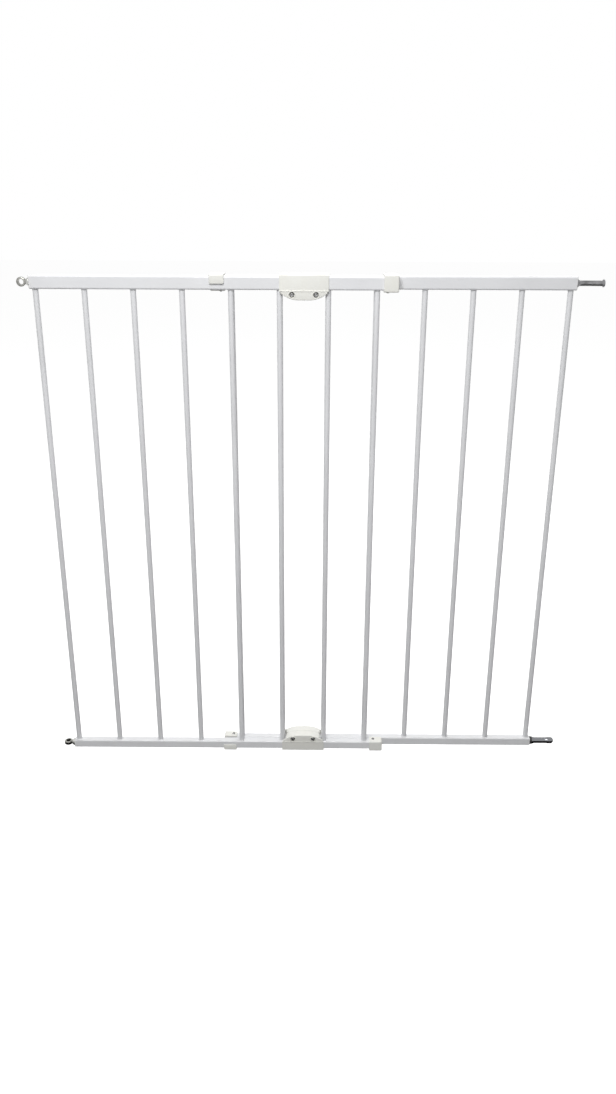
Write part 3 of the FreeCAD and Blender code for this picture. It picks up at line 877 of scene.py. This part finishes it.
        r = self.crest_radius
        chain = [vert(self.inner, roof), vert(self.inner, crest), vert(front + r, crest)]
        for a, b in zip(chain, chain[1:]):
            part.edges.new((a, b))
        arc = bmesh.ops.spin(part, geom=[chain[-1]],
                cent=(cx - self.half_width * MM, (front + r) * MM, cz + (crest - r) * up * MM),
                             axis=(1.0, 0.0, 0.0), angle=math.radians(90.0) * up, steps=6,
                             use_duplicate=False)
        corner = [v for v in arc["geom_last"] if isinstance(v, bmesh.types.BMVert)][0]
        rest = [corner, vert(front, -self.half - 1.3), vert(back, -self.half - 1.3),
                vert(back, roof)]
        for a, b in zip(rest, rest[1:] + chain[:1]):
            part.edges.new((a, b))
        bmesh.ops.contextual_create(part, geom=part.edges[:])
        made = bmesh.ops.extrude_face_region(part, geom=part.faces[:])
        moved = [item for item in made["geom"] if isinstance(item, bmesh.types.BMVert)]
        bmesh.ops.translate(part, verts=moved, vec=(2 * self.half_width * MM, 0.0, 0.0))
        bmesh.ops.recalc_face_normals(part, faces=part.faces[:])
        ends = [e for e in part.edges
                if abs(e.verts[0].co.x - e.verts[1].co.x) < 1e-7 and e.calc_face_angle(0.0) > 1.0]
        bmesh.ops.bevel(part, geom=ends, offset=0.8 * MM, offset_type="OFFSET", segments=3,
                profile=0.5,
                        affect="EDGES", clamp_overlap=False, material=-1)
        self._merge(bm, part)

    def _ridge(self, bm: bmesh.types.BMesh, y: float, out: float) -> None:
        """Makes the raised ridge across the shell at the foot of the band.

        Args:
            bm: The shell.
            y: Outer face of the ridge.
            out: Millimetres from that face back into the wall.
        """
        part = bmesh.new()
        bmesh.ops.create_cube(part, size=1.0)
        size = Vector((2 * self.half_width - 0.5, out, 2.0)) * MM
        bmesh.ops.scale(part, vec=size, verts=part.verts[:])
        spot = Vector((self.centre.x, (y + out / 2) * MM,
                self.centre.z - (self.half + 1.1) * self.level.up * MM))
        bmesh.ops.translate(part, verts=part.verts[:], vec=spot)
        bmesh.ops.bevel(part, geom=part.edges[:], offset=0.42 * MM, offset_type="OFFSET",
                segments=3, profile=0.5,
                        affect="EDGES", clamp_overlap=True, material=-1)
        self._merge(bm, part)

    def _dome(self, part: bmesh.types.BMesh, half: float, y: float, shoulder: float) -> list:
        """Draws the dome's outline.

        Args:
            part: Mesh to draw in.
            half: Half the width at the shoulder.
            y: Plane of the outline.
            shoulder: Level of the straight top.

        Returns:
            The outline's edges.
        """
        keel = self.half + self.dome_depth
        reach = half - self.flat_half
        turn = math.degrees(math.asin(reach / self.dome_radius))
        line = Outline(part, self.centre, self.level.up, y * MM)
        line.to(-half, shoulder)
        line.to(-half, -keel + self.dome_radius - math.sqrt(self.dome_radius ** 2 - reach ** 2))
        line.swing(-self.flat_half, -keel + self.dome_radius, turn, 10)
        line.to(self.flat_half, -keel)
        line.swing(self.flat_half, -keel + self.dome_radius, turn, 10)
        line.to(half, shoulder)
        return line.close()

    def _drilled_plate(self, half: float, front: float, back: float, shoulder: float,
            hole: float) -> bmesh.types.BMesh:
        """Fills the dome's outline round the two screw holes and makes it a plate.

        Args:
            half: Half the width at the shoulder.
            front: Front face.
            back: Back face.
            shoulder: Level of the straight top.
            hole: Radius of the screw holes, 0 for a plate without them.

        Returns:
            The plate.
        """
        part = bmesh.new()
        self._dome(part, half, front, shoulder)
        for sign in (-1.0, 1.0) if hole else ():
            spot = Vector((self.centre.x + sign * self.screw_half * MM, front * MM,
                           self.centre.z - (self.half + self.screw_drop) * self.level.up * MM))
            turn = Matrix.Translation(spot) @ Matrix.Rotation(math.pi / 2, 4, "X")
            bmesh.ops.create_circle(part, cap_ends=False, radius=hole * MM, segments=36,
                    matrix=turn)
        bmesh.ops.triangle_fill(part, use_beauty=True, use_dissolve=False, edges=part.edges[:])
        made = bmesh.ops.extrude_face_region(part, geom=part.faces[:])
        moved = [item for item in made["geom"] if isinstance(item, bmesh.types.BMVert)]
        bmesh.ops.translate(part, verts=moved, vec=(0.0, (back - front) * MM, 0.0))
        bmesh.ops.recalc_face_normals(part, faces=part.faces[:])
        return part

    def _dome_plate(self, bm: bmesh.types.BMesh, drilled: bool = True) -> None:
        """Makes the outer plate of the dome with a rounded rim.

        Args:
            bm: The shell.
            drilled: Whether the plate has the two screw pockets.
        """
        front = -self.face - self.wall + 0.6
        part = self._drilled_plate(self.dome_half, front,
                -self.face - self.wall + self.pocket_depth,
                                   -self.half - 1.2, self.pocket_radius if drilled else 0.0)
        rim = []
        for edge in part.edges:
            level = all(abs(v.co.y - front * MM) < 1e-6 for v in edge.verts)
            spots = [Vector((self.centre.x + s * self.screw_half * MM, v.co.y,
                             self.centre.z - (self.half + self.screw_drop) * self.level.up * MM))
                     for s in (-1.0, 1.0) for v in edge.verts[:1]]
            clear = all((edge.verts[0].co - spot).length > 5.4 * MM for spot in spots)
            if level and clear and edge.calc_face_angle(0.0) > 1.0:
                rim.append(edge)
        bmesh.ops.bevel(part, geom=rim, offset=1.1 * MM, offset_type="OFFSET", segments=4,
                profile=0.5,
                        affect="EDGES", clamp_overlap=False, material=-1)
        self._merge(bm, part)

    def _web(self, bm: bmesh.types.BMesh) -> None:
        """Makes the solid part of the dome between the two bars.

        Args:
            bm: The shell.
        """
        front = -self.face - self.wall + self.pocket_depth
        part = self._drilled_plate(self.web_half, front, self.inner, -self.half - 0.3,
                self.shank_radius)
        back = [e for e in part.edges if e.calc_face_angle(0.0) > 1.0
                and all(abs(v.co.y - self.inner * MM) < 1e-6 for v in e.verts)]
        bmesh.ops.bevel(part, geom=back, offset=0.3 * MM, offset_type="OFFSET", segments=2,
                profile=0.5,
                        affect="EDGES", clamp_overlap=False, material=-1)
        self._merge(bm, part)

    def _boss_rim(self, bm: bmesh.types.BMesh, across: float) -> None:
        """Spins the raised rim that lines a screw pocket.

        Args:
            bm: The shell.
            across: Millimetres from the clamp's middle.
        """
        part = bmesh.new()
        top, floor = -self.face - self.wall, -self.face - self.wall + self.pocket_depth
        spot = Vector((self.centre.x + across * MM, 0.0,
                       self.centre.z - (self.half + self.screw_drop) * self.level.up * MM))
        r = self.pocket_radius
        profile = [(r - 0.05, floor), (r - 0.05, top + 0.3), (r + 0.15, top + 0.08),
                (r + 0.5, top), (r + 0.95, top + 0.02),
                   (r + 1.25, top + 0.16), (r + 1.35, top + 0.45), (r + 1.35, top + 1.2),
                       (r + 0.3, top + 1.2), (r + 0.3, floor)]
        verts = [part.verts.new(spot + Vector((a * MM, b * MM, 0.0))) for a, b in profile]
        edges = [part.edges.new((verts[k],
                verts[(k + 1) % len(verts)])) for k in range(len(verts))]
        bmesh.ops.spin(part, geom=verts + edges, cent=spot, axis=(0.0, 1.0, 0.0), angle=math.tau,
                       steps=40, use_merge=True, use_duplicate=False)
        self._merge(bm, part)


@dataclass
class RailGuide:
    """A moulded box on the inner end of a rail, with a hook over the other panel's rail."""

    side: Side
    level: Level
    lip_radius: float = 2.6
    edge_radius: float = 0.9

    def build(self, shop: Shop) -> None:
        """Makes the guide and its screw.

        Args:
            shop: Piece maker.
        """
        name = f"{self.side.value}_{self.level.value}_guide"
        bm = bmesh.new()
        bm.from_mesh(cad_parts[name].data)
        bmesh.ops.remove_doubles(bm, verts=bm.verts[:], dist=2e-6)
        bmesh.ops.dissolve_degenerate(bm, dist=1e-6, edges=bm.edges[:])
        bmesh.ops.dissolve_limit(bm, angle_limit=math.radians(1.5), verts=bm.verts[:],
                edges=bm.edges[:])
        self._round_lip(bm, name)
        limit = math.radians(40.0)
        sharp = [e for e in bm.edges if len(e.link_faces) == 2 and e.calc_face_angle(0.0) > limit]
        bmesh.ops.bevel(bm, geom=sharp, offset=self.edge_radius * MM, offset_type="OFFSET",
                segments=3,
                        profile=0.5, affect="EDGES", clamp_overlap=True, material=-1)
        shop.piece(bm, f"{name}_moulding", self.side.body, Slot.CREAM, [name])
        screw = shop.softened(f"{name}_screw", 0.18 * MM, 2)
        shop.piece(screw, f"{name}_cross_screw", self.side.body, Slot.SCREW, [f"{name}_screw"])

    def _round_lip(self, bm: bmesh.types.BMesh, name: str) -> None:
        """Rounds the free corner of the hook's lip at the open end of the guide.

        Args:
            bm: Merged copy of the guide.
            name: CAD node name.
        """
        low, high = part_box(name)
        outer = high.y if self.side is Side.FRONT else low.y
        corners = []
        for edge in bm.edges:
            a, b = edge.verts[0].co, edge.verts[1].co
            straight = abs(a.x - b.x) < 1e-6 and abs(a.z - b.z) < 1e-6
            along_y = straight and abs(a.y - b.y) > 1.5 * MM
            at_lip = max(abs(a.y - outer), abs(b.y - outer)) < 3.2 * MM
            at_end = min(abs(a.x - low.x), abs(a.x - high.x)) < 1e-5
            if along_y and at_lip and at_end:
                corners.append(edge)
        if corners:
            bmesh.ops.bevel(bm, geom=corners, offset=self.lip_radius * MM, offset_type="OFFSET",
                    segments=6,
                            profile=0.5, affect="EDGES", clamp_overlap=True, material=-1)
        LOG.info("%s lip corners rounded: %d", name, len(corners))


@dataclass
class Hardware:
    """Plated eyes and lock nuts at the hinge side, latch pins and collar at the other."""

    level: Level
    shank_radius: float = 4.0
    base_radius: float = 7.5
    body_radius: float = 5.8
    nose_radius: float = 6.3
    face_gap: float = 0.3

    def dress(self, paint: Paint) -> None:
        """Gives the hardware's CAD nodes their finishes.

        Args:
            paint: Materials.
        """
        word = self.level.word
        paint.dress_node(f"{word}_hinge_eye", Slot.ZINC)
        paint.dress_node(f"{word}_hinge_nut", Slot.PLATED)
        if self.level is Level.TOP:
            paint.dress_node("upper_latch_pin", Slot.DULL)
        else:
            paint.dress_node("lower_latch_collar", Slot.BLACK)

    def build(self, shop: Shop) -> None:
        """Turns the lower latch pin, which has a round nose.

        Args:
            shop: Piece maker.
        """
        if self.level is Level.TOP:
            return
        low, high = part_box("lower_latch_pin")
        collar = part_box("lower_latch_collar")[1].x / MM
        start, tip = low.x / MM, high.x / MM
        root, base = self.shank_radius, self.base_radius
        body, nose = self.body_radius, self.nose_radius
        rise = collar + self.face_gap
        profile = [(start, 0.0), (start, root - 0.4), (start + 0.4, root), (rise, root),
                (rise, base - 0.3), (rise + 0.3, base),
                   (rise + 1.1, base), (rise + 2.3, base - 0.55), (rise + 3.7, base - 1.15),
                       (rise + 5.3, base - 1.55),
                   (rise + 7.0, body), (tip - 12.9, body), (tip - 12.6, body + 0.15),
                       (tip - 12.3, nose - 0.05),
                   (tip - 12.0, nose), (tip - 5.0, nose), (tip - 3.7, nose - 0.22),
                       (tip - 2.5, nose - 0.8),
                   (tip - 1.5, nose - 1.65), (tip - 0.75, nose - 2.75), (tip - 0.25, nose - 4.05),
                       (tip, nose - 5.2), (tip, 0.0)]
        middle = (low + high) / 2
        bm = bmesh.new()
        verts = [bm.verts.new((along * MM, middle.y, middle.z + out * MM)) for along,
                out in profile]
        edges = [bm.edges.new(pair) for pair in zip(verts, verts[1:])]
        bmesh.ops.spin(bm, geom=verts + edges, cent=(0.0, middle.y, middle.z),
                axis=(1.0, 0.0, 0.0),
                       angle=math.tau, steps=64, use_merge=True, use_duplicate=False)
        bmesh.ops.remove_doubles(bm, verts=bm.verts[:], dist=1e-6)
        shop.piece(bm, "lower_latch_pin_turned", "lower_pin", Slot.CHROME, ["lower_latch_pin"])


@dataclass(frozen=True)
class Lamp:
    """One soft square lamp: where it stands, what it faces, its side in metres and its watts."""

    name: str
    spot: tuple
    aim: tuple
    size: float
    power: float
    glossy: bool = False


LAMPS: tuple[Lamp, ...] = (
    Lamp("key", (0.22, -1.2, 1.9), (0.48, 0.0, 0.7), 0.8, 24.0, glossy=True),
    Lamp("ceiling", (0.5, 0.2, 3.4), (0.5, 0.0, 0.0), 2.2, 40.0),
    Lamp("back", (0.7, 1.9, 1.7), (0.48, 0.0, 0.5), 1.2, 20.0),
)


@dataclass
class Studio:
    """Camera, pale floor, white surround and soft lamps."""

    eye: tuple = (0.4841, -1.5906, 1.0347)
    turn: float = 0.2433
    tilt: float = 21.113
    roll: float = 0.244
    lens: float = 30.53
    floor_level: float = -0.055
    fill: float = 0.20

    def camera(self) -> None:
        """Makes the camera and sets it on the scene."""
        data = bpy.data.cameras.new("view")
        data.lens, data.sensor_width, data.sensor_fit = self.lens, 36.0, "AUTO"
        data.clip_start, data.clip_end = 0.02, 60.0
        thing = bpy.data.objects.new("view", data)
        bpy.context.scene.collection.objects.link(thing)
        thing.matrix_world = (Matrix.Translation(self.eye)
                              @ Matrix.Rotation(math.radians(self.turn), 4, "Z")
                              @ Matrix.Rotation(math.radians(90.0 - self.tilt), 4, "X")
                              @ Matrix.Rotation(math.radians(self.roll), 4, "Z"))
        bpy.context.scene.camera = thing

    def _seen(self, desk: NodeDesk) -> Socket:
        """1 for rays from the camera, mirrors and glass, else 0.

        Args:
            desk: Desk of the tree.

        Returns:
            The mask's socket.
        """
        path = desk.add("ShaderNodeLightPath")
        both = desk.maths("MAXIMUM", path.outputs["Is Camera Ray"], path.outputs["Is Glossy Ray"])
        return desk.maths("MAXIMUM", both, path.outputs["Is Transmission Ray"])

    def surround(self) -> None:
        """Makes the world white to the eye and a soft fill on the object."""
        world = bpy.data.worlds.new("surround")
        bpy.context.scene.world = world
        world.use_nodes = True
        world.node_tree.nodes.clear()
        desk = NodeDesk(world.node_tree)
        back = desk.add("ShaderNodeBackground")
        back.inputs["Color"].default_value = (1.0, 1.0, 1.0, 1.0)
        desk.feed(desk.span(self._seen(desk), 0.0, 1.0, self.fill, 1.0), back.inputs["Strength"])
        desk.feed(back.outputs[0], desk.add("ShaderNodeOutputWorld").inputs["Surface"])

    def floor(self) -> None:
        """Makes the pale floor, which keeps the object's shadow."""
        bm = bmesh.new()
        bmesh.ops.create_grid(bm, x_segments=1, y_segments=1, size=14.0)
        bmesh.ops.translate(bm, verts=bm.verts[:], vec=(0.48, 0.0, self.floor_level))
        mesh = bpy.data.meshes.new("floor")
        bm.to_mesh(mesh)
        bm.free()
        thing = bpy.data.objects.new("floor", mesh)
        bpy.context.scene.collection.objects.link(thing)
        material = bpy.data.materials.new("floor_paper")
        material.use_nodes = True
        material.node_tree.nodes.clear()
        desk = NodeDesk(material.node_tree)
        paper = desk.add("ShaderNodeBsdfDiffuse")
        paper.inputs["Color"].default_value = (0.50, 0.50, 0.50, 1.0)
        glow = desk.add("ShaderNodeEmission")
        desk.feed(desk.maths("MULTIPLY", self._seen(desk), 0.88), glow.inputs["Strength"])
        both = desk.add("ShaderNodeAddShader")
        desk.feed(paper.outputs[0], both.inputs[0])
        desk.feed(glow.outputs[0], both.inputs[1])
        desk.feed(both.outputs[0], desk.add("ShaderNodeOutputMaterial").inputs["Surface"])
        mesh.materials.append(material)

    def flag(self) -> None:
        """Lays a black card that only glossy rays see, so plated metal keeps a dark underside."""
        bm = bmesh.new()
        bmesh.ops.create_grid(bm, x_segments=1, y_segments=1, size=0.5)
        bmesh.ops.scale(bm, vec=(2.4, 1.7, 1.0), verts=bm.verts[:])
        bmesh.ops.translate(bm, verts=bm.verts[:], vec=(0.48, -0.62, self.floor_level + 0.006))
        mesh = bpy.data.meshes.new("flag")
        bm.to_mesh(mesh)
        bm.free()
        thing = bpy.data.objects.new("flag", mesh)
        bpy.context.scene.collection.objects.link(thing)
        thing.visible_camera = thing.visible_diffuse = thing.visible_shadow = False
        thing.visible_transmission = thing.visible_volume_scatter = False
        material = bpy.data.materials.new("flag_cloth")
        material.use_nodes = True
        material.node_tree.nodes.clear()
        desk = NodeDesk(material.node_tree)
        cloth = desk.add("ShaderNodeBsdfDiffuse")
        cloth.inputs["Color"].default_value = (0.01, 0.01, 0.01, 1.0)
        desk.feed(cloth.outputs[0], desk.add("ShaderNodeOutputMaterial").inputs["Surface"])
        mesh.materials.append(material)

    def lamp(self, lamp: Lamp) -> None:
        """Makes one soft area lamp.

        Args:
            lamp: The lamp's place, size and power.
        """
        data = bpy.data.lights.new(lamp.name, "AREA")
        data.energy, data.size = lamp.power, lamp.size
        thing = bpy.data.objects.new(lamp.name, data)
        bpy.context.scene.collection.objects.link(thing)
        thing.visible_glossy = lamp.glossy
        way = (Vector(lamp.aim) - Vector(lamp.spot)).to_track_quat("-Z", "Y")
        thing.matrix_world = Matrix.Translation(lamp.spot) @ way.to_matrix().to_4x4()

    def build(self) -> None:
        """Sets up the whole studio."""
        self.camera()
        self.surround()
        self.floor()
        self.flag()
        for lamp in LAMPS:
            self.lamp(lamp)
        bpy.context.scene.view_settings.view_transform = "Standard"
        LOG.info("studio ready")


def main() -> None:
    """Dresses the frame, builds the new pieces and sets up the studio."""
    logging.basicConfig(level=logging.INFO, format="%(name)s: %(message)s")
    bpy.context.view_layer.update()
    paint = Paint()
    paint.build()
    shop = Shop(paint)
    for side in Side:
        panel = Panel(side)
        panel.dress(paint)
        panel.build(shop)
    for level in Level:
        clamp = CentreClamp(level)
        clamp.dress(paint)
        clamp.build(shop)
        hardware = Hardware(level)
        hardware.dress(paint)
        hardware.build(shop)
        for side in Side:
            RailGuide(side, level).build(shop)
    Studio().build()
    LOG.info("sizes written")


if __name__ == "__main__":
    main()
